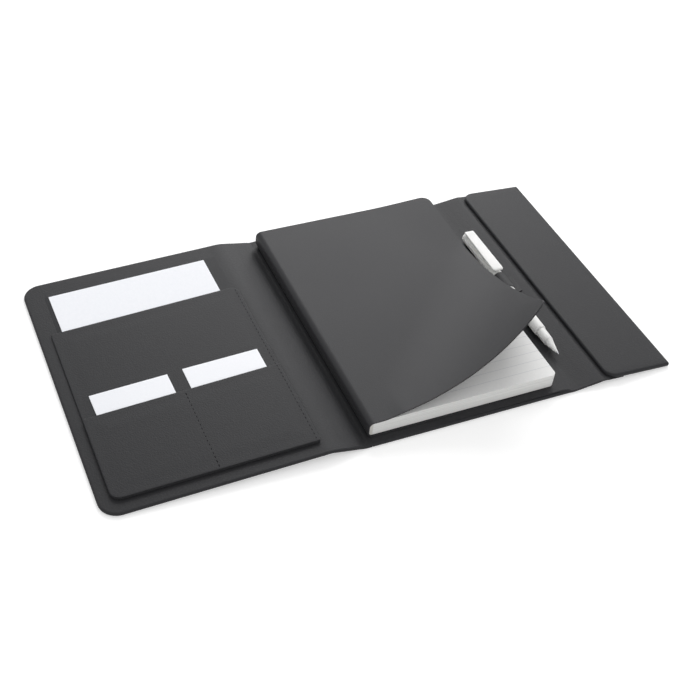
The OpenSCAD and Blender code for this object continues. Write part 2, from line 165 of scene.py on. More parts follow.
def charcoal(level):  # a touch cooler than grey
    return srgb(level, level, level + 2)


def skinFinish(name, look):
    def build(spot):
        pebble = {"Vector": spot, "Scale": look["grain"], "Smoothness": 0.6}
        cells = spot.make("ShaderNodeTexVoronoi", {"feature": "SMOOTH_F1"}, pebble)
        fine = spot.noise(look["grain"] * 2.3, 3.0)
        cloud = spot.noise(19.0, 2.0)
        height = cells * 0.75 + fine * 0.45
        shade = cloud * 0.35 + cells * 0.3 + fine * 0.4
        return {
            "Base Color": shade.blendTo(charcoal(look["dark"]), charcoal(look["light"])),
            "Roughness": look["rough"] + (cloud - 0.5) * 0.06 + (fine - 0.5) * 0.14,
            "Normal": height.bump(look["bump"], 0.0003),
        }
    return newFinish(name, build, {"Specular IOR Level": look["gloss"]})


outerSkin = skinFinish("outerSkin", skinLooks["outer"])
liningSkin = skinFinish("liningSkin", skinLooks["lining"])
pocketSkin = skinFinish("pocketSkin", skinLooks["pocket"])
notebookSkin = skinFinish("notebookSkin", skinLooks["notebook"])


def greyBoard(spot):
    fibre = spot.stretched((120.0, 420.0, 420.0)).noise(3.0, 4.0)
    fleck = spot.noise(900.0, 2.0)
    return {
        "Base Color": (fibre * 0.6 + fleck * 0.4).blendTo(srgb(104, 100, 94), srgb(146, 141, 133)),
        "Roughness": 0.82 + (fleck - 0.5) * 0.12,
        "Normal": (fibre + fleck).bump(0.25, 0.0002),
    }


def dullSteel(spot):
    grind = spot.stretched((60.0, 2600.0, 60.0)).noise(1.0, 3.0)
    return {
        "Base Color": grind.blendTo(srgb(142, 145, 150), srgb(176, 178, 182)),
        "Roughness": 0.32 + grind * 0.2,
        "Normal": grind.bump(0.08, 0.0001),
    }


def spineGlue(spot):
    lump = spot.noise(420.0, 3.0)
    return {
        "Base Color": lump.blendTo(srgb(206, 204, 198), srgb(226, 224, 219)),
        "Roughness": 0.38 + lump * 0.2,
        "Normal": lump.bump(0.4, 0.0004),
    }


# lineStep and ruled are in metres, lineWidth is a share of the step
pageLook = {"lineStep": 0.008, "lineWidth": 0.045, "lineInk": 0.42, "ruled": (-0.1, 0.088),
            "leaf": 5200.0, "facesUp": 0.7}


def pagePaper(spot):
    along = spot.axes()[1]
    facing = Wire(spot.tree).make("ShaderNodeNewGeometry", out="Normal").axes()[2]
    onTop = facing > pageLook["facesUp"]
    line = ((along / pageLook["lineStep"]) % 1.0) < pageLook["lineWidth"]
    foot, head = pageLook["ruled"]
    inside = (along < head) * (along > foot)
    leaves = spot.stretched((14.0, 14.0, pageLook["leaf"])).noise(1.0, 2.0)
    fibre = spot.noise(700.0, 3.0)
    paper = fibre.blendTo(srgb(242, 242, 241), srgb(249, 249, 248))
    ruled = (line * onTop * inside * pageLook["lineInk"]).blendTo(paper, srgb(186, 189, 196))
    edge = ((leaves - 0.34) * 2.6).blendTo(srgb(226, 226, 224), srgb(248, 248, 246))
    return {
        "Base Color": onTop.blendTo(edge, ruled),
        "Roughness": 0.78 + (fibre - 0.5) * 0.1,
        "Normal": (leaves * (1 - onTop) + fibre * 0.12).bump(0.35, 0.0002),
    }


def insertPaper(spot):
    fibre = spot.stretched((1.0, 0.6, 1.0)).noise(620.0, 4.0)
    return {
        "Base Color": fibre.blendTo(srgb(238, 240, 245), srgb(247, 248, 252)),
        "Roughness": 0.66 + (fibre - 0.5) * 0.14,
        "Normal": fibre.bump(0.08, 0.0001),
    }


def cardStock(spot):
    fibre = spot.noise(900.0, 3.0)
    sweep = spot.noise(30.0, 1.0)
    return {
        "Base Color": (fibre * 0.6 + sweep * 0.4).blendTo(srgb(235, 237, 242), srgb(246, 247, 251)),
        "Roughness": 0.42 + (fibre - 0.5) * 0.12,
        "Normal": fibre.bump(0.05, 0.0001),
    }


def threadBlack(spot):
    twist = spot.stretched((900.0, 2400.0, 900.0)).noise(1.0, 2.0)
    return {
        "Base Color": twist.blendTo(srgb(12, 12, 14), srgb(34, 34, 37)),
        "Roughness": 0.66 + twist * 0.2,
        "Normal": twist.bump(0.5, 0.0002),
    }


weaveLook = {"ribStep": 0.0009, "weftStep": 0.0012}  # metres


def wovenElastic(spot):
    across, along, up = spot.axes()
    rib = abs(((along / weaveLook["ribStep"]) % 1.0) - 0.5)
    weft = abs((((across + up) / weaveLook["weftStep"]) % 1.0) - 0.5)
    return {
        "Base Color": (rib * 0.9 + weft * 0.5).blendTo(srgb(20, 20, 22), srgb(46, 46, 49)),
        "Roughness": 0.62 + rib * 0.2,
        "Normal": (rib + weft * 0.6).bump(0.5, 0.0003),
    }


def penPlastic(spot):
    cloud = spot.noise(60.0, 2.0)
    scuff = spot.stretched((900.0, 60.0, 900.0)).noise(1.0, 2.0)
    return {
        "Base Color": cloud.blendTo(srgb(238, 238, 236), srgb(244, 244, 242)),
        "Roughness": 0.3 + scuff * 0.12,
        "Normal": scuff.bump(0.03, 0.0001),
    }


def penMetal(spot):
    turned = spot.stretched((30.0, 5200.0, 30.0)).noise(1.0, 2.0)
    return {
        "Base Color": turned.blendTo(srgb(196, 197, 200), srgb(222, 223, 226)),
        "Roughness": 0.22 + turned * 0.14,
        "Normal": turned.bump(0.06, 0.0001),
    }


milky = {"Specular IOR Level": 0.35, "Subsurface Weight": 0.5, "Subsurface Scale": 0.006,
         "Subsurface Radius": (1.0, 1.0, 1.0)}
boardGrey = newFinish("boardGrey", greyBoard)
steelDull = newFinish("steelDull", dullSteel, {"Metallic": 1.0})
glueCream = newFinish("glueCream", spineGlue)
pageWhite = newFinish("pageWhite", pagePaper, {"Specular IOR Level": 0.2})
paperWhite = newFinish("paperWhite", insertPaper, {"Specular IOR Level": 0.3})
cardWhite = newFinish("cardWhite", cardStock, {"Specular IOR Level": 0.4})
threadDark = newFinish("threadDark", threadBlack, {"Specular IOR Level": 0.15})
loopWeave = newFinish("loopWeave", wovenElastic)
plasticWhite = newFinish("plasticWhite", penPlastic, milky)
metalBright = newFinish("metalBright", penMetal, {"Metallic": 1.0})
print("finishes made:", len(bpy.data.materials))


# mesh helpers, all in millimetres

def smoothStep(low, high, value):
    t = min(max((value - low) / (high - low), 0.0), 1.0)
    return t * t * (3 - 2 * t)


def quarter(k, steps):  # the angle of step k on a quarter turn
    return math.pi / 2 * k / steps


def addPiece(name, points, faces, place, finish, sharp=38.0):
    mesh = bpy.data.meshes.new(name)
    mesh.from_pydata([place @ Vector(p) * mm for p in points], [], faces)
    bm = bmesh.new()
    bm.from_mesh(mesh)
    bmesh.ops.remove_doubles(bm, verts=bm.verts, dist=1e-7)
    bmesh.ops.recalc_face_normals(bm, faces=bm.faces)
    bm.to_mesh(mesh)
    bm.free()
    mesh.shade_smooth()
    mesh.set_sharp_from_angle(angle=math.radians(sharp))
    mesh.materials.append(finish)
    piece = bpy.data.objects.new(name, mesh)
    bpy.context.scene.collection.objects.link(piece)
    return piece


def seated(piece, body, slotName, *nodes):
    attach(piece, body)
    if nodes:
        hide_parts(*nodes)


def sweepMesh(section, stations, caps=True):
    # section(station) gives a closed loop of points, one for each station
    loops = [section(s) for s in stations]
    n = len(loops[0])
    points = [p for loop in loops for p in loop]
    faces = []
    for k in range(len(loops) - 1):
        for i in range(n):
            j = (i + 1) % n
            faces.append((k * n + i, k * n + j, (k + 1) * n + j, (k + 1) * n + i))
    if caps:
        faces.append(tuple(reversed(range(n))))
        faces.append(tuple(range((len(loops) - 1) * n, len(loops) * n)))
    return points, faces


def joinMeshes(*parts):
    points, faces = [], []
    for morePoints, moreFaces in parts:
        start = len(points)
        points += morePoints
        faces += [tuple(start + i for i in face) for face in moreFaces]
    return points, faces


leastRadius = 0.06  # keeps an inset corner from closing up


def outlineRing(box, radii, inset=0.0, steps=7):
    # radii: left near, right near, right far, left far
    x0, x1, y0, y1 = box[0] + inset, box[1] - inset, box[2] + inset, box[3] - inset
    ring = []
    corners = ((x0, y0, 1, 1, 180), (x1, y0, -1, 1, 270), (x1, y1, -1, -1, 0), (x0, y1, 1, -1, 90))
    for (cx, cy, sx, sy, first), radius in zip(corners, radii):
        r = max(radius - inset, leastRadius)
        for k in range(steps + 1):
            a = math.radians(first + 90 * k / steps)
            ring.append((cx + sx * r + r * math.cos(a), cy + sy * r + r * math.sin(a)))
    return ring


def slabMesh(box, radii, z0, z1, low, high, rings=(), steps=7):
    # a board with rounded lower and upper edges, then extra rings (inset, lift) that crown its top
    profile = [(low * (1 - math.sin(quarter(k, 3))), z0 + low * (1 - math.cos(quarter(k, 3))))
               for k in range(4)]
    profile += [(high * (1 - math.cos(quarter(k, 5))), z1 - high + high * math.sin(quarter(k, 5)))
                for k in range(6)]
    profile += [(high + inset, z1 + lift) for inset, lift in rings]

    def ring(entry):
        inset, z = entry
        return [(x, y, z) for x, y in outlineRing(box, radii, inset, steps)]
    return sweepMesh(ring, profile)


def circleRing(centre, y, r, count):
    turns = [2 * math.pi * k / count for k in range(count)]
    return [(centre[0] + r * math.cos(t), y, centre[1] + r * math.sin(t)) for t in turns]


def latheMesh(profile, centre, count=44):
    # profile: (y, radius) from one end to the other, turned about an axis along Y
    return sweepMesh(lambda entry: circleRing(centre, *entry, count), profile)


# where the panels lie: each frame has x from its crease and z = 0 on the outer face

wrap = {"panel": 2.6, "crease": 1.0, "creaseHalf": 2.6, "halfHeight": 112.5, "hem": 14.0,
        "frontWidth": 152.754, "backWidth": 158.054, "flapWidth": 56.0}
jointAt = {j["name"]: Vector(j["pos_m"]) / mm for j in frame["joints"] if "pos_m" in j}
ridgeAxis, spineAxis = jointAt["front_fold"], jointAt["spine_fold"]
closingAxis, flapAxis = jointAt["closing_fold"], jointAt["flap_fold"]
spineWidth = (ridgeAxis - spineAxis).length
stripWidth = (flapAxis - closingAxis).length
frontTilt = math.asin((ridgeAxis.z - wrap["crease"]) / wrap["frontWidth"])
spineLean = math.asin((ridgeAxis.z - spineAxis.z) / spineWidth)
stripLean = math.asin((flapAxis.z - closingAxis.z) / stripWidth)
flapTilt = math.asin((flapAxis.z - wrap["crease"]) / wrap["flapWidth"])
half = wrap["halfHeight"]
creaseHalf = wrap["creaseHalf"]


def panelFrame(axis, turn):
    outerFace = Matrix.Translation((0, 0, -wrap["crease"]))
    return Matrix.Translation(axis) @ Matrix.Rotation(turn, 4, "Y") @ outerFace


onFront = panelFrame(ridgeAxis, -frontTilt)
onSpine = panelFrame(spineAxis, spineLean)
onBack = panelFrame(spineAxis, 0.0)
onStrip = panelFrame(closingAxis, -stripLean)
onFlap = panelFrame(flapAxis, flapTilt)


# the wrap's panels

panels = {"edge": 1.25, "frontCorner": 13.0, "creaseCorner": 1.2, "rings": ((1.0, 0.0), (4.0, 0.0)),
          "backInset": 1.6}
creaseCorner, frontCorner = panels["creaseCorner"], panels["frontCorner"]
squareEnds = (creaseCorner,) * 4
roundLeft = (frontCorner, creaseCorner, creaseCorner, frontCorner)


def panelPiece(name, xs, radii, place, body, *nodes):
    edge = panels["edge"]
    mesh = slabMesh((*xs, -half, half), radii, 0.0, wrap["panel"], edge, edge, panels["rings"], 10)
    seated(addPiece(name, *mesh, place, outerSkin), body, "outer_skin", *nodes)


frontX0, frontX1 = -wrap["frontWidth"], -creaseHalf
spineX0, spineX1 = -spineWidth + creaseHalf, -creaseHalf
backX0, backX1 = creaseHalf, wrap["backWidth"] - creaseHalf
panelPiece("frontPanel", (frontX0, frontX1), roundLeft, onFront, "front_cover", "front_skin", "front_board")
panelPiece("spinePanel", (spineX0, spineX1), squareEnds, onSpine, "spine",
           "spine_skin", "spine_board", "spine_lining")
panelPiece("backPanel", (backX0 + panels["backInset"], backX1), squareEnds, onBack, "back_cover",
           "back_skin", "back_board")

# linings lie inside the turned hem, a hair above it
linings = {"depth": 0.45, "proud": 0.06, "edges": (0.1, 0.2), "corner": 3.0, "creaseGap": 3.0}
hemY = half - wrap["hem"]


def liningPiece(name, xs, place, body, node):
    top = wrap["panel"] + linings["proud"]
    radii = (linings["corner"],) * 4
    mesh = slabMesh((*xs, -hemY, hemY), radii, top - linings["depth"], top, *linings["edges"], steps=4)
    seated(addPiece(name, *mesh, place, liningSkin), body, "lining", node)


gap = linings["creaseGap"]
liningPiece("frontLiningSheet", (frontX0 + wrap["hem"], frontX1 - gap), onFront,
            "front_cover", "front_lining")
liningPiece("backLiningSheet", (backX0 + gap, backX1 - gap), onBack, "back_cover", "back_lining")
print("panels and linings done")


# creases: one soft sheet each, bent between its two panels and lapped a little way over them

creases = {"soft": 2.0, "sheet": 0.5, "stations": 34, "rows": 12, "solidBeyond": 1.4, "lapDepth": 0.3,
           "sleeveEnd": (1.6, 1.3), "pinch": 0.9, "least": 0.02, "panelRim": 1.25, "stripRim": 0.45,
           "sharp": 60.0, "rimRows": (2.4, 1.75, 1.6, 1.25, 0.8, 0.5, 0.28, 0.12, 0.03)}  # from the end
flush = wrap["panel"] - wrap["crease"]
lapped = flush + 0.03
tucked = flush - 0.06


def curveAt(profile, s):
    # smooth curve through (along, lift) points
    k = max(i for i in range(len(profile) - 1) if i == 0 or profile[i][0] <= s)
    slopes = []
    for i in (k, k + 1):
        (xa, ya), (xb, yb) = profile[max(i - 1, 0)], profile[min(i + 1, len(profile) - 1)]
        slopes.append((yb - ya) / (xb - xa))
    (xa, ya), (xb, yb) = profile[k], profile[k + 1]
    t, wide = (s - xa) / (xb - xa), xb - xa
    start = (1 + 2 * t) * (1 - t) ** 2 * ya + t * (1 - t) ** 2 * wide * slopes[0]
    return start + t * t * (3 - 2 * t) * yb + t * t * (t - 1) * wide * slopes[1]


def creasePiece(name, axis, rises, rims, node, profile):
    # rises: how the panels climb to the left and right; rims: how round their ends are
    # profile: the height of the sheet's top over the fold line
    leftRise, rightRise = rises
    solidHalf = creaseHalf + creases["solidBeyond"]

    def heading(s):
        return -leftRise + (rightRise + leftRise) * smoothStep(-creases["soft"], creases["soft"], s)

    def foldLine(s, steps=24):
        turns = [heading(s * (k + 0.5) / steps) for k in range(steps)]
        return sum(math.cos(t) for t in turns) * s / steps, sum(math.sin(t) for t in turns) * s / steps
    first, last = profile[0][0], profile[-1][0]
    count, rows, pinch = creases["stations"], creases["rows"], creases["pinch"]
    stations = [first + (last - first) * k / count for k in range(count + 1)]
    rim = [half - d for d in creases["rimRows"]]
    stationsY = [-y for y in rim[::-1]] + [rim[0] * k / rows for k in range(1 - rows, rows)] + rim
    sleeveStop, sleeveOut = creases["sleeveEnd"]

    def section(y):
        fromEnd = half - abs(y)
        top, under = [], []
        for s in stations:
            (x, z), turn = foldLine(s), heading(s)
            lift = curveAt(profile, s)
            if lift > lapped:  # the sheet draped from the sleeve ends with it
                lift = lift - (lift - flush) * smoothStep(half - sleeveStop, half - sleeveOut, abs(y))
            solid = -solidHalf <= s <= solidHalf
            low = -wrap["crease"] if solid else min(lift - creases["sheet"], flush - creases["lapDepth"])
            r = rims[0] + (rims[1] - rims[0]) * smoothStep(-creaseHalf, creaseHalf, s)
            drop = r - math.sqrt(max(r * r - max(r - fromEnd, 0.0) ** 2, 0.0))
            raised = min(drop, pinch * (lift - low) / 2) if solid else -pinch * drop
            lift, low = lift - drop, low + raised
            for line, rise in ((top, lift), (under, min(low, lift - creases["least"]))):
                line.append((x - rise * math.sin(turn), y, z + rise * math.cos(turn)))
        return top + under[::-1]
    sheet = sweepMesh(section, stationsY)
    piece = addPiece(name, *sheet, Matrix.Translation(axis), outerSkin, creases["sharp"])
    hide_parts(node)
    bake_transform(piece)


panelRim, softRim = creases["panelRim"], creases["stripRim"]
creasePiece("frontCreaseFold", ridgeAxis, (-frontTilt, -spineLean), (panelRim, panelRim),
            "front_crease",
            [(-9.4, tucked), (-5.6, lapped), (-2.6, lapped), (0.0, flush - 0.1),
             (2.6, lapped), (7.0, lapped), (10.8, tucked)])
creasePiece("spineCreaseFold", spineAxis, (spineLean, 0.0), (panelRim, panelRim),
            "spine_crease",
            [(-10.8, tucked), (-7.0, lapped), (-2.6, lapped), (-0.6, flush - 0.15),
             (1.0, flush - 0.25), (2.6, flush - 0.15), (4.4, flush - 0.04), (7.4, flush - 0.05)])
creasePiece("closingCreaseFold", closingAxis, (0.0, stripLean), (panelRim, softRim),
            "closing_crease",
            [(-9.6, 2.94), (-6.6, 3.04), (-4.6, 2.75), (-2.6, 2.1), (0.0, 1.25),
             (2.6, 0.62), (5.6, 0.3), (10.0, 0.23), (14.0, 0.14)])
creasePiece("flapCreaseFold", flapAxis, (-stripLean, -flapTilt), (softRim, softRim),
            "flap_crease",
            [(-14.0, 0.14), (-10.0, 0.23), (-2.6, 0.23), (0.0, 0.12), (2.0, -0.15), (4.4, -0.3)])
print("creases done")


# closing strip and flap

strip = {"thick": 1.2, "columns": 14, "rows": 20, "edge": 0.2, "edgeDepth": 0.4,
         "rimRows": (1.4, 0.7, 0.45, 0.0), "sharp": 60.0}
stripX0, stripX1 = creaseHalf, stripWidth - creaseHalf


def stripSection(y):
    thin = strip["edge"] if abs(y) > half - strip["edgeDepth"] else 0.0
    xs = [stripX0 + (stripX1 - stripX0) * k / strip["columns"] for k in range(strip["columns"] + 1)]
    return [(x, y, strip["thick"] - thin) for x in xs] + [(x, y, thin) for x in xs[::-1]]


stripRows = [half - d for d in strip["rimRows"]]
stripMiddle = [-half + 2 * half * k / strip["rows"] for k in range(1, strip["rows"])]
stripY = [-y for y in stripRows[::-1]] + stripMiddle + stripRows
stripMesh = sweepMesh(stripSection, stripY)
stripSheet = addPiece("stripSheet", *stripMesh, onStrip, outerSkin, strip["sharp"])
seated(stripSheet, "closing_strip", "outer_skin", "strip_skin", "strip_lining")

flap = {"thick": 3.7, "creaseCorner": 9.0, "freeCorner": 1.4, "edge": 1.45, "crown": 0.18, "creaseGap": 0.3,
        "lift": 0.05, "crownRings": ((1.0, 0.05), (2.4, 0.1), (4.5, 0.14), (8.0, 0.18)),
        "baseWidth": 14.0, "baseThick": 0.75, "baseCorners": (1.0, 0.4, 0.4, 1.0), "baseEdges": (0.25, 0.3)}
flapX0, flapX1 = creaseHalf, wrap["flapWidth"]
flapCorners = (flap["creaseCorner"], flap["freeCorner"], flap["freeCorner"], flap["creaseCorner"])
flapPad = slabMesh((flapX0 + flap["creaseGap"], flapX1, -half, half), flapCorners, flap["lift"],
                   flap["thick"] - flap["crown"], flap["edge"], flap["edge"], flap["crownRings"], 10)
flapBase = slabMesh((flapX0, flapX0 + flap["baseWidth"], -half, half), flap["baseCorners"],
                    0.0, flap["baseThick"], *flap["baseEdges"], steps=3)
flapPiece = addPiece("flapCover", *joinMeshes(flapPad, flapBase), onFlap, outerSkin)
seated(flapPiece, "flap", "outer_skin", "flap_skin", "flap_facing")
print("strip and flap done")


# inside pockets on the front panel

pockets = {"border": 9.0, "x1": -4.2, "y0": -102.5, "documentTop": 59.9, "cardTop": -27.1, "seam": 7.6,
           "corner": 7.0, "creaseCorner": 1.2, "openCorner": 6.0, "cardCorner": 1.6, "leftCorner": 1.6,
           "documentZ": (2.6, 3.1, 3.9), "cardZ": (3.9, 4.5, 5.3),  # floor, underside and top of each sheet
           "sheetEdges": (0.2, 0.38), "slant": 3.8, "bottomSeam": 5.2, "swell": 0.2,
           "swellRings": ((1.2, 0.1), (3.0, 0.1), (6.0, 0.15), (9.0, 0.6), (14.0, 1.0)),  # inset, share
           "wallInset": 0.3, "wallLap": 1.0, "wallSink": 0.3, "wallCorner": 0.3, "wallEdge": 0.1,
           "dividerStart": 1.0, "dividerZ": (3.7, 4.8)}
pocketX0, pocketX1, pocketY0 = frontX0 + pockets["border"], pockets["x1"], pockets["y0"]


def slanted(mesh, top):
    # the opening runs down to the left, less and less towards the foot of the pocket
    points, faces = mesh
    wide, high = pocketX1 - pocketX0, top - pocketY0
    slant = pockets["slant"]
    return [(x, y - slant * (pocketX1 - x) / wide * (y - pocketY0) / high, z) for x, y, z in points], faces


def pocketMesh(top, floorZ, sheetZ, topZ, openCorner):
    seam, corner, square = pockets["seam"], pockets["corner"], pockets["wallCorner"]
    box = (pocketX0, pocketX1, pocketY0, top)
    radii = (corner, pockets["creaseCorner"], openCorner, pockets["leftCorner"])
    swell = [(inset, share * pockets["swell"]) for inset, share in pockets["swellRings"]]
    sheet = slabMesh(box, radii, sheetZ, topZ, *pockets["sheetEdges"], swell)
    inset, lap, sink, edge = (pockets[key] for key in ("wallInset", "wallLap", "wallSink", "wallEdge"))
    near, far = pocketY0 + inset, top - inset
    left = (pocketX0 + inset, pocketX0 + seam, near, far)
    right = (pocketX1 - seam, pocketX1 - inset, near, far)
    foot = (pocketX0 + seam - lap, pocketX1 - seam + lap, near, pocketY0 + pockets["bottomSeam"])
    walls = ((left, (corner, square, square, 0.6)), (right, (square, 1.0, openCorner, square)),
             (foot, (square,) * 4))
    sunk = [slabMesh(wall, ends, floorZ - sink, sheetZ + sink, edge, edge, (), 5) for wall, ends in walls]
    return joinMeshes(sheet, *sunk)


documentMesh = pocketMesh(pockets["documentTop"], *pockets["documentZ"], pockets["openCorner"])
documentMesh = slanted(documentMesh, pockets["documentTop"])
documentSheet = addPiece("documentPocketSheet", *documentMesh, onFront, pocketSkin)
seated(documentSheet, "front_cover", "pocket_sheet", "document_pocket")
slotWall = (pocketX0 - creaseHalf) / 2
slotSeamHalf = pockets["seam"] / 2
cardMesh = pocketMesh(pockets["cardTop"], *pockets["cardZ"], pockets["cardCorner"])
dividerBox = (slotWall - slotSeamHalf, slotWall + slotSeamHalf, pocketY0 + pockets["dividerStart"],
              pockets["cardTop"] - pockets["wallInset"])
divider = slabMesh(dividerBox, (pockets["wallCorner"],) * 4, *pockets["dividerZ"],
                   pockets["wallEdge"], pockets["wallEdge"], steps=3)
slotMesh = slanted(joinMeshes(cardMesh, divider), pockets["cardTop"])
cardSheet = addPiece("cardPocketSheet", *slotMesh, onFront, pocketSkin)
seated(cardSheet, "front_cover", "pocket_sheet", "card_pocket")

# thread: two sewn columns, one between the card slots and one beside the crease
stitch = {"length": 2.5, "pitch": 3.7, "radius": 0.26, "sag": 0.264, "tip": 0.25, "wide": 1.15, "flat": 0.8,
          "start": 3.0, "stop": 2.0, "fromEdge": 2.2, "sunk": 0.02, "cardsStop": 1.0, "sides": 8,
          "along": (-1.0, -0.86, -0.5, 0.0, 0.5, 0.86, 1.0)}


def stitchMesh(x, y, z):
    turns = [2 * math.pi * k / stitch["sides"] for k in range(stitch["sides"])]

    def ring(t):
        r = stitch["radius"] * (stitch["tip"] + (1 - stitch["tip"]) * math.sqrt(max(1 - t ** 4, 0.0)))
        at, height = y + t * stitch["length"] / 2, z - stitch["sag"] * t * t
        wide, high = stitch["wide"] * r, stitch["flat"] * r
        return [(x + wide * math.cos(a), at, height + high * math.sin(a)) for a in turns]
    return sweepMesh(ring, stitch["along"])


def stitchRow(top):
    y = pocketY0 + stitch["start"]
    while y < top - stitch["stop"]:
        yield y
        y += stitch["pitch"]


cardFace, documentFace = pockets["cardZ"][2], pockets["documentZ"][2]
cardsStop = pockets["cardTop"] - stitch["cardsStop"]
sewn = [stitchMesh(slotWall, y, cardFace + pockets["swell"] - stitch["sunk"])
        for y in stitchRow(pockets["cardTop"] - pockets["slant"] / 2)]
sewn += [stitchMesh(pocketX1 - stitch["fromEdge"], y, cardFace if y < cardsStop else documentFace)
         for y in stitchRow(pockets["documentTop"])]
pocketThread = addPiece("pocketThread", *joinMeshes(*sewn), onFront, threadDark)
seated(pocketThread, "front_cover", "pocket_sheet")

# the letter sheet and the two cards; leans are degrees, then the shift across and up
inserts = {"bottomY": -94.6, "paperGap": 0.3, "rings": ((1.0, 0.0),),
           "paper": {"size": (118.75, 192.0), "z": (2.68, 3.02), "corner": 0.3, "edge": 0.06},
           "card": {"size": (55.0, 85.0), "z": (4.12, 4.46), "corner": 0.4, "edge": 0.08},
           "paperLean": (0.6, 1.0, -0.6), "leftLean": (1.4, 0.7, -1.0), "rightLean": (0.8, -0.5, 1.2)}


def leaning(mesh, lean):
    # a loose sheet turned about its own middle
    points, faces = mesh
    degrees, across, upward = lean
    c, s = math.cos(math.radians(degrees)), math.sin(math.radians(degrees))
    mx, my = ((max(p[i] for p in points) + min(p[i] for p in points)) / 2 for i in (0, 1))
    turned = [(mx + across + (x - mx) * c - (y - my) * s, my + upward + (x - mx) * s + (y - my) * c, z)
              for x, y, z in points]
    return turned, faces


def looseSheet(left, sheet):
    (wide, high), bottom = sheet["size"], inserts["bottomY"]
    box = (left, left + wide, bottom, bottom + high)
    edge = sheet["edge"]
    return slabMesh(box, (sheet["corner"],) * 4, *sheet["z"], edge, edge, inserts["rings"], 2)


slotX = pocketX0 + pockets["seam"]
letterMesh = looseSheet(slotX + inserts["paperGap"], inserts["paper"])
letterSheet = addPiece("letterSheet", *leaning(letterMesh, inserts["paperLean"]), onFront, paperWhite)
seated(letterSheet, "paper_insert", "insert_paper", "paper_insert")
slotWide = (-creaseHalf - pocketX0 - 3 * pockets["seam"]) / 2
cardPlay = (slotWide - inserts["card"]["size"][0]) / 2
for name, body, slot, lean in (("cardLeftSheet", "card_left", 0, inserts["leftLean"]),
                               ("cardRightSheet", "card_right", 1, inserts["rightLean"])):
    cardBlank = looseSheet(slotX + slot * (slotWide + pockets["seam"]) + cardPlay, inserts["card"])
    card = addPiece(name, *leaning(cardBlank, lean), onFront, cardWhite)
    seated(card, body, "card_stock", body)
print("pockets, thread and inserts done")


# notebook

notebook = {"x": 3.8, "top": 16.0, "bottom": 2.62, "cover": 0.8, "round": 3.6, "bulge": 0.55, "leg": 0.2,
            "height": 211.5, "corner": 7.0, "hingeX": 8.4, "sheetX": 8.9, "seamX": 21.0, "coverEnd": 150.3,
            "rollRadius": 94.5, "rollTurn": 45.2, "rollLead": 10.5, "leadOver": 22.0,
            "farLift": 1.8, "liftX": (100.0, 158.3), "liftY": 30.0, "pressedTo": 0.02,
            "bendFrom": (-3.5, 0, -4.0), "bendTo": (9.0, 0, 1.0), "rows": 40, "endRow": 0.4, "sharp": 50.0,
            "underX": (7.0, 151.3), "underTop": 3.4, "underCorner": 0.6, "underEdges": (0.2, 0.3),
            "underRings": ((1.0, 0.0),)}
rollTurn = math.radians(notebook["rollTurn"])
rollX, rollY = math.sin(rollTurn), -math.cos(rollTurn)
bookHalf, bookTop = notebook["height"] / 2, notebook["top"]
sheetX, seamX, coverEnd = notebook["sheetX"], notebook["seamX"], notebook["coverEnd"]


def rolled(x, y, depth):
    # a point of the flat cover, rolled up about a slanting line; depth is down from its top face
    radius = notebook["rollRadius"]
    lead = notebook["rollLead"] * smoothStep(sheetX, sheetX + notebook["leadOver"], x)
    s = max((x - sheetX) * rollX + (y + bookHalf) * rollY + lead, 0.0)
    out = (radius + depth) * math.sin(s / radius) - s
    z = bookTop + radius - (radius + depth) * math.cos(s / radius)
    lifted = smoothStep(*notebook["liftX"], x) * smoothStep(notebook["liftY"], bookHalf, y)
    z += notebook["farLift"] * lifted
    return x + out * rollX, y + out * rollY, z


def coverHalf(x):
    # half the cover's height at x, less at its rounded outer corners
    r = notebook["corner"]
    past = max(x - (coverEnd - r), 0.0)
    return bookHalf - r + math.sqrt(max(r * r - past * past, 0.0))


def coverSheetMesh(rows=72, flatColumns=54, cornerColumns=8):
    straightEnd = coverEnd - notebook["corner"]
    columns = [seamX + (straightEnd - seamX) * k / flatColumns for k in range(flatColumns + 1)]
    columns += [coverEnd - notebook["corner"] * (1 - math.sin(quarter(k, cornerColumns)))
                for k in range(1, cornerColumns + 1)]

    def column(x):
        h = max(coverHalf(x), 0.01)
        ys = [-h + 2 * h * k / rows for k in range(rows + 1)]
        return [rolled(x, y, 0.0) for y in ys] + [rolled(x, y, notebook["cover"]) for y in ys[::-1]]
    points, faces = sweepMesh(column, columns, caps=False)
    n = 2 * (rows + 1)
    last = len(points) - n
    faces += [(last + i, last + i + 1, last + n - 2 - i, last + n - 1 - i) for i in range(rows)]
    return points, faces


coverSheet = addPiece("notebookCoverSheet", *coverSheetMesh(), onBack, notebookSkin, notebook["sharp"])
seated(coverSheet, "notebook_cover", "notebook_skin", "notebook_front_cover")
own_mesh(coverSheet)


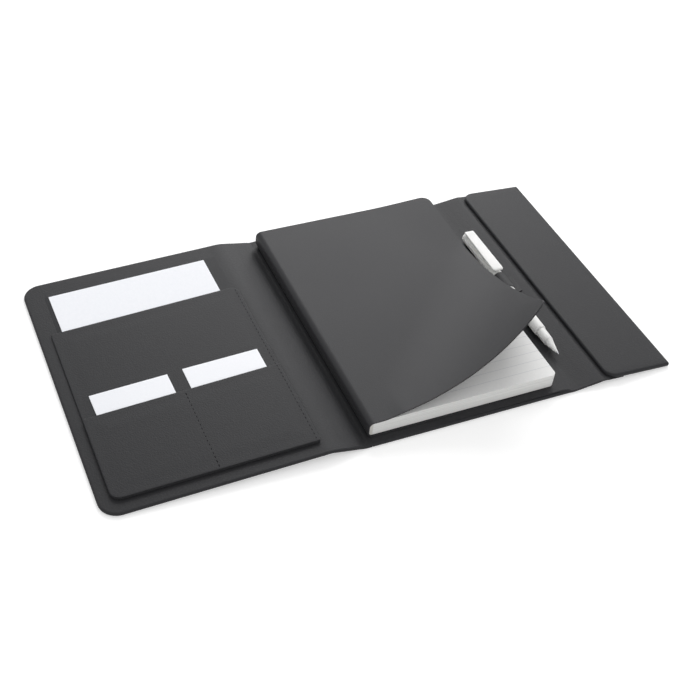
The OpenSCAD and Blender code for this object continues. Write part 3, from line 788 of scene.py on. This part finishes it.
def hingeMesh():
    # outer line of the spine from its lower leg round the back and over the top
    r, x0, low, thick = notebook["round"], notebook["x"], notebook["bottom"], notebook["cover"]
    outer = [(x0 + r + notebook["leg"], low)]
    outer += [(x0 + r - r * math.sin(quarter(k, 6)), low + r - r * math.cos(quarter(k, 6)))
              for k in range(7)]
    outer += [(x0, low + r + (bookTop - low - 2 * r) * k / 6) for k in range(1, 6)]
    outer += [(x0 + r - r * math.cos(quarter(k, 8)), bookTop - r + r * math.sin(quarter(k, 8)))
              for k in range(9)]
    outer += [(x0 + r + (seamX - x0 - r) * k / 10, bookTop) for k in range(1, 11)]
    inner = []
    for k, (x, z) in enumerate(outer):
        ax, az = outer[max(k - 1, 0)]
        bx, bz = outer[min(k + 1, len(outer) - 1)]
        length = math.hypot(bx - ax, bz - az)
        inner.append((x + (bz - az) / length * thick, z - (bx - ax) / length * thick))
    middle = (low + bookTop) / 2

    def bulged(x, z):
        if x > x0 + r:
            return x
        return x - notebook["bulge"] * max(1 - ((z - middle) / (bookTop - middle)) ** 2, 0.0)

    def section(y):
        loop = []
        for line, depth in ((outer, 0.0), (inner[::-1], thick)):
            for x, z in line:
                onCover = z > bookTop - 1.0 and x > sheetX
                loop.append(rolled(x, y, depth) if onCover else (bulged(x, z), y, z))
        return loop
    count, endRow = notebook["rows"], bookHalf - notebook["endRow"]
    rows = [-bookHalf + 2 * bookHalf * k / count for k in range(1, count)]
    return sweepMesh(section, [-bookHalf, -endRow, *rows, endRow, bookHalf])


coverHinge = addPiece("notebookCoverHinge", *hingeMesh(), onBack, notebookSkin, notebook["sharp"])
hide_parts("notebook_spine")
hingeAt = onBack @ Vector((notebook["hingeX"], 0, bookTop))
bendStart, bendEnd = (hingeAt + Vector(notebook[end]) for end in ("bendFrom", "bendTo"))
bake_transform(coverHinge)

underCorners = (notebook["underCorner"], notebook["corner"], notebook["corner"], notebook["underCorner"])
underMesh = slabMesh((*notebook["underX"], -bookHalf, bookHalf), underCorners, notebook["bottom"],
                     notebook["underTop"], *notebook["underEdges"], notebook["underRings"])
underCover = addPiece("notebookUnderCover", *underMesh, onBack, notebookSkin)
seated(underCover, "back_cover", "notebook_skin", "notebook_back_cover")

pages = {"box": (6.8, 146.8, -105.0, 105.0), "z": (4.1, 15.1), "corner": 3.0, "spineCorner": 0.4,
         "rows": 26, "stray": 0.14, "topInset": 0.5, "seed": 7, "sharp": 30.0}


def pageMesh():
    draw = random.Random(pages["seed"])
    z0, z1 = pages["z"]
    radii = (pages["spineCorner"], pages["corner"], pages["corner"], pages["spineCorner"])
    levels = []
    for k in range(pages["rows"] + 1):
        levels.append((draw.uniform(0.0, pages["stray"]), z0 + (z1 - z0) * k / pages["rows"]))
    levels.append((pages["topInset"], z1))

    def ring(entry):
        inset, z = entry
        return [(x, y, z) for x, y in outlineRing(pages["box"], radii, inset, 6)]
    return sweepMesh(ring, levels)


pageStack = addPiece("pageStack", *pageMesh(), onBack, pageWhite, pages["sharp"])
seated(pageStack, "back_cover", "pages", "page_block")

sleeve = {"box": (backX1 - 100.0, backX1 - 3.4, -111.0, 111.0), "sheet": (3.5, 4.0), "lip": 0.05,
          "edges": (0.15, 0.22), "corners": (1.0, 3.0, 3.0, 1.0), "rings": ((1.0, 0.0), (4.0, 0.03)),
          "seamZ": (2.4, 3.7), "sideSeam": 3.6, "endSeam": 4.6, "seamInset": 0.1, "mouthInset": 0.2,
          "seamLap": 3.0, "seamCorner": 0.4, "seamEdge": 0.1}


def sleeveMesh():
    x0, x1, y0, y1 = sleeve["box"]
    sheet = slabMesh(sleeve["box"], sleeve["corners"], *sleeve["sheet"], *sleeve["edges"], sleeve["rings"])
    inset, edge, corners = sleeve["seamInset"], sleeve["seamEdge"], (sleeve["seamCorner"],) * 4
    ends = (x0 + sleeve["mouthInset"], x1 - sleeve["seamLap"])
    boxes = ((x1 - sleeve["sideSeam"], x1 - inset, y0 + inset, y1 - inset),
             (*ends, y0 + inset, y0 + sleeve["endSeam"]), (*ends, y1 - sleeve["endSeam"], y1 - inset))
    seams = [slabMesh(box, corners, *sleeve["seamZ"], edge, edge, steps=3) for box in boxes]
    points, faces = joinMeshes(sheet, *seams)
    floorZ, lip = wrap["panel"], sleeve["lip"]

    def eased(x, z):  # the mouth lies flat on the lining, the sewn side stands at its full height
        return floorZ + (z - floorZ) * (lip + (1 - lip) * (x - x0) / (x1 - x0))
    return [(x, y, eased(x, z)) for x, y, z in points], faces


sleeveSheet = addPiece("notebookSleeveSheet", *sleeveMesh(), onBack, pocketSkin)
seated(sleeveSheet, "back_cover", "lining", "notebook_sleeve")
print("notebook done")


# pen and its loop, about an axis along Y on the strip; profiles are (y, radius)

pen = {"x": 7.1995, "z": 6.2, "radius": 4.4, "crown": 2.0, "crownY": 59.0,
       "barrel": [(-55.5, 3.7), (-55.45, 4.05), (-55.2, 4.3), (-54.8, 4.4),
                  (-20.0, 4.4), (20.0, 4.4), (57.0, 4.4)],
       "grip": [(-67.0, 3.3), (-66.8, 3.5), (-66.4, 3.62), (-62.0, 3.7),
                (-56.6, 3.76), (-55.9, 3.76), (-55.4, 3.7)],
       "nose": [(-78.6, 0.85), (-78.2, 0.98), (-75.0, 1.6), (-71.0, 2.5),
                (-68.0, 3.18), (-67.2, 3.38), (-67.0, 3.3)],
       "point": [(-81.0, 0.12), (-80.9, 0.36), (-80.4, 0.46), (-79.4, 0.7), (-78.5, 0.8)]}
penAxis = (pen["x"], pen["z"])
penCrown = [(pen["crownY"] + pen["crown"] * math.sin(quarter(k, 6)),
             pen["radius"] - pen["crown"] * (1 - math.cos(quarter(k, 6)))) for k in range(7)]
barrel = addPiece("penBarrelTube", *latheMesh(pen["barrel"] + penCrown, penAxis), onStrip, plasticWhite)
seated(barrel, "pen", "pen_plastic", "pen_barrel")
grip = addPiece("penGripSleeve", *latheMesh(pen["grip"], penAxis), onStrip, plasticWhite)
seated(grip, "pen", "pen_plastic", "pen_grip")
nose = addPiece("penNoseCone", *latheMesh(pen["nose"], penAxis), onStrip, plasticWhite)
seated(nose, "pen", "pen_plastic", "pen_nose")
point = addPiece("penPointTube", *latheMesh(pen["point"], penAxis, 24), onStrip, metalBright)
seated(point, "pen", "pen_metal", "pen_point")

clip = {"turn": 8.0, "y": (10.0, 59.0), "near": 5.0, "far": 6.6, "wide": 7.8, "endWide": 8.8, "soft": 0.55,
        "softUnder": 0.6, "softLimit": 2.2, "crown": 0.12, "thinNear": 0.5, "thinFar": 0.6, "sharp": 45.0,
        "tip": ((0.0, 0.7, 0.75), (0.35, 0.88, 0.4), (1.2, 0.97, 0.12), (3.0, 1.0, 0.0)),
        "heel": ((0.8, 0.98, 0.1), (0.25, 0.93, 0.35), (0.0, 0.85, 0.7)), "heelRun": 2.0, "rows": 12,
        "root": ((-2.6, 3.4), (2.6, 3.4), (3.2, 5.4), (-3.2, 5.4)), "rootY": (6.8, 6.0, 1.4, 0.7)}


def clipMesh():
    # tip and heel: distance from the end, share of the width, and how far the bar is thinned
    turn = math.radians(clip["turn"])
    y0, y1 = clip["y"]
    tipRun, rows = clip["tip"][-1][0], clip["rows"]
    stations = [(y0 + d, wide, thin) for d, wide, thin in clip["tip"]]
    straight = y1 - y0 - tipRun - clip["heelRun"]
    stations += [(y0 + tipRun + straight * k / rows, 1.0, 0.0) for k in range(1, rows + 1)]
    stations += [(y1 - d, wide, thin) for d, wide, thin in clip["heel"]]

    def onPen(u, v, y):  # u across the clip, v out from the pen's axis
        return (penAxis[0] + math.cos(turn) * u + math.sin(turn) * v, y,
                penAxis[1] - math.sin(turn) * u + math.cos(turn) * v)

    def section(entry):
        y, wide, thin = entry
        share = (y - y0) / (y1 - y0)
        w = (clip["endWide"] + (clip["wide"] - clip["endWide"]) * share) / 2 * wide
        near, far = clip["near"] + thin * clip["thinNear"], clip["far"] - thin * clip["thinFar"]
        soft = min(clip["soft"], (far - near) / clip["softLimit"])
        under = soft * clip["softUnder"]
        corners = ((w - soft, far - soft, 0), (-w + soft, far - soft, 90),
                   (-w + soft, near + under, 180), (w - soft, near + under, 270))
        ring = []
        for cornerU, cornerV, first in corners:
            onTop = first < 180
            for k in range(5):
                t = math.radians(first + 90 * k / 4)
                u, v = cornerU + soft * math.cos(t), cornerV + (soft if onTop else under) * math.sin(t)
                ring.append(onPen(u, v + (clip["crown"] * (1 - (u / w) ** 2) if onTop else 0.0), y))
        return ring
    bar = sweepMesh(section, stations)
    root = sweepMesh(lambda d: [onPen(u, v, y1 - d) for u, v in clip["root"]], clip["rootY"])
    return joinMeshes(bar, root)


clipBar = addPiece("penClipBar", *clipMesh(), onStrip, plasticWhite, clip["sharp"])
seated(clipBar, "pen", "pen_plastic", "pen_clip")

band = {"inner": 4.5, "outer": 5.05, "halfWide": 8.5, "lip": 0.2, "outerLoss": 0.18, "innerGain": 0.12,
        "crownHalf": 3.0, "crown": 0.04, "sides": 48, "tabX": 19.2, "tabZ": (1.1, 2.2), "tabCorner": 0.5,
        "tabEdges": (0.1, 0.3), "tabRings": ((0.8, 0.0),)}


def bandMesh():
    end, outer, inner = band["halfWide"], band["outer"], band["inner"]
    # from one end of the band to its middle: y, outer radius, inner radius
    side = [(end, outer - band["outerLoss"], inner + band["innerGain"]), (end - band["lip"], outer, inner),
            (band["crownHalf"], outer + band["crown"], inner)]
    rows = [(-y, out, bore) for y, out, bore in side] + side[::-1]
    rings = [circleRing(penAxis, y, out, band["sides"]) for y, out, bore in rows]
    rings += [circleRing(penAxis, y, bore, band["sides"]) for y, out, bore in rows[::-1]]
    rings.append(rings[0])
    tube = sweepMesh(lambda ring: ring, rings, caps=False)
    tab = slabMesh((penAxis[0], band["tabX"], -end, end), (band["tabCorner"],) * 4, *band["tabZ"],
                   *band["tabEdges"], band["tabRings"], 3)
    return joinMeshes(tube, tab)


penLoop = addPiece("penLoopBand", *bandMesh(), onStrip, loopWeave)
seated(penLoop, "closing_strip", "outer_skin", "pen_loop")
print("pen and loop done")


# CAD nodes that stay: the flap's board, the keepers, the magnets and the spine glue

keptFinish = {"flap_board": boardGrey, "keeper_plates": steelDull, "flap_magnets": steelDull,
              "binding_glue": glueCream}
for node, finish in keptFinish.items():
    mesh = frame["nodes"][node].data
    mesh.materials.clear()
    mesh.materials.append(finish)


# floor, light and camera

studio = {"floor": 0.8, "floorHalf": 6.0, "glow": 0.4, "world": 0.68, "fromRight": 0.1, "fromFront": 0.3}
lamps = {"highBack": {"place": (0.6, 1.2, 1.2), "power": 11.0},
         "lowBack": {"place": (0.5, 1.5, 0.65), "power": 6.5},
         "lowRight": {"place": (1.3, 0.9, 0.65), "power": 3.0}}
lampSize = (1.2, 0.6)


def grey(level):
    return (level, level, level, 1)


def seenDirectly(tree):
    path = Wire(tree).make("ShaderNodeLightPath")
    rays = [Wire(tree, path.socket.node.outputs[n])
            for n in ("Is Camera Ray", "Is Glossy Ray", "Is Transmission Ray")]
    return path.maths("MAXIMUM", path.maths("MAXIMUM", rays[0], rays[1]), rays[2])


def floorPaint(spot):
    return {"Emission Color": seenDirectly(spot.tree).blendTo(grey(0), grey(studio["glow"]))}


floorFinish = newFinish("floorFinish", floorPaint, {"Base Color": grey(studio["floor"]), "Roughness": 0.9,
                                                    "Specular IOR Level": 0.0, "Emission Strength": 1.0})
floorMesh = bpy.data.meshes.new("studioFloor")
reach = studio["floorHalf"]
floorCorners = [(-reach, -reach, 0), (reach, -reach, 0), (reach, reach, 0), (-reach, reach, 0)]
floorMesh.from_pydata(floorCorners, [], [(0, 1, 2, 3)])
floorMesh.materials.append(floorFinish)
floorPlane = bpy.data.objects.new("studioFloor", floorMesh)
bpy.context.scene.collection.objects.link(floorPlane)

world = bpy.data.worlds.new("studioWorld")
bpy.context.scene.world = world
world.use_nodes = True
sky = world.node_tree.nodes["Background"]
sky.inputs["Color"].default_value = grey(1)
east, north = Wire(world.node_tree).make("ShaderNodeTexCoord", out="Generated").axes()[:2]
dome = studio["world"] * (1 + studio["fromRight"] * east - studio["fromFront"] * north)
skyLevel = dome + seenDirectly(world.node_tree) * (1 - dome)
world.node_tree.links.new(skyLevel.socket, sky.inputs["Strength"])

for name, lamp in lamps.items():
    light = bpy.data.lights.new(name, "AREA")
    light.shape = "RECTANGLE"
    light.size, light.size_y = lampSize
    light.energy = lamp["power"]
    holder = bpy.data.objects.new(name, light)
    holder.location = lamp["place"]
    holder.rotation_mode = "QUATERNION"
    holder.rotation_quaternion = (-Vector(lamp["place"])).to_track_quat("-Z", "Y")  # aimed at the origin
    bpy.context.scene.collection.objects.link(holder)

# angles in degrees, distance in metres, target in millimetres, focal and centre in pixels of the picture
shot = {"azimuth": -26.2135, "elevation": 43.6685, "roll": 5.1645, "distance": 0.84971,
        "beyondRidge": 30.29, "targetY": -15.833, "focal": 1193.49, "centre": (318.0, 351.0),
        "picture": 700, "sensor": 36.0}
camera = bpy.data.cameras.new("photoCamera")
camera.sensor_width = shot["sensor"]
camera.lens = shot["focal"] * shot["sensor"] / shot["picture"]
camera.shift_x = (shot["picture"] / 2 - shot["centre"][0]) / shot["picture"]
camera.shift_y = (shot["centre"][1] - shot["picture"] / 2) / shot["picture"]
cameraRig = bpy.data.objects.new("photoCamera", camera)
azimuth, elevation, roll = (math.radians(shot[turn]) for turn in ("azimuth", "elevation", "roll"))
backward = Vector((math.sin(azimuth) * math.cos(elevation), -math.cos(azimuth) * math.cos(elevation),
                   math.sin(elevation)))
target = Vector((ridgeAxis.x + shot["beyondRidge"], shot["targetY"], 0.0)) * mm
cameraRig.location = target + backward * shot["distance"]
cameraRig.rotation_mode = "QUATERNION"
cameraRig.rotation_quaternion = (-backward).to_track_quat("-Z", "Y") @ Quaternion((0, 0, 1), roll)
bpy.context.scene.collection.objects.link(cameraRig)
bpy.context.scene.camera = cameraRig
bpy.context.scene.view_settings.view_transform = "Standard"
print("stage, lights and camera done")

bpy.context.view_layer.update()
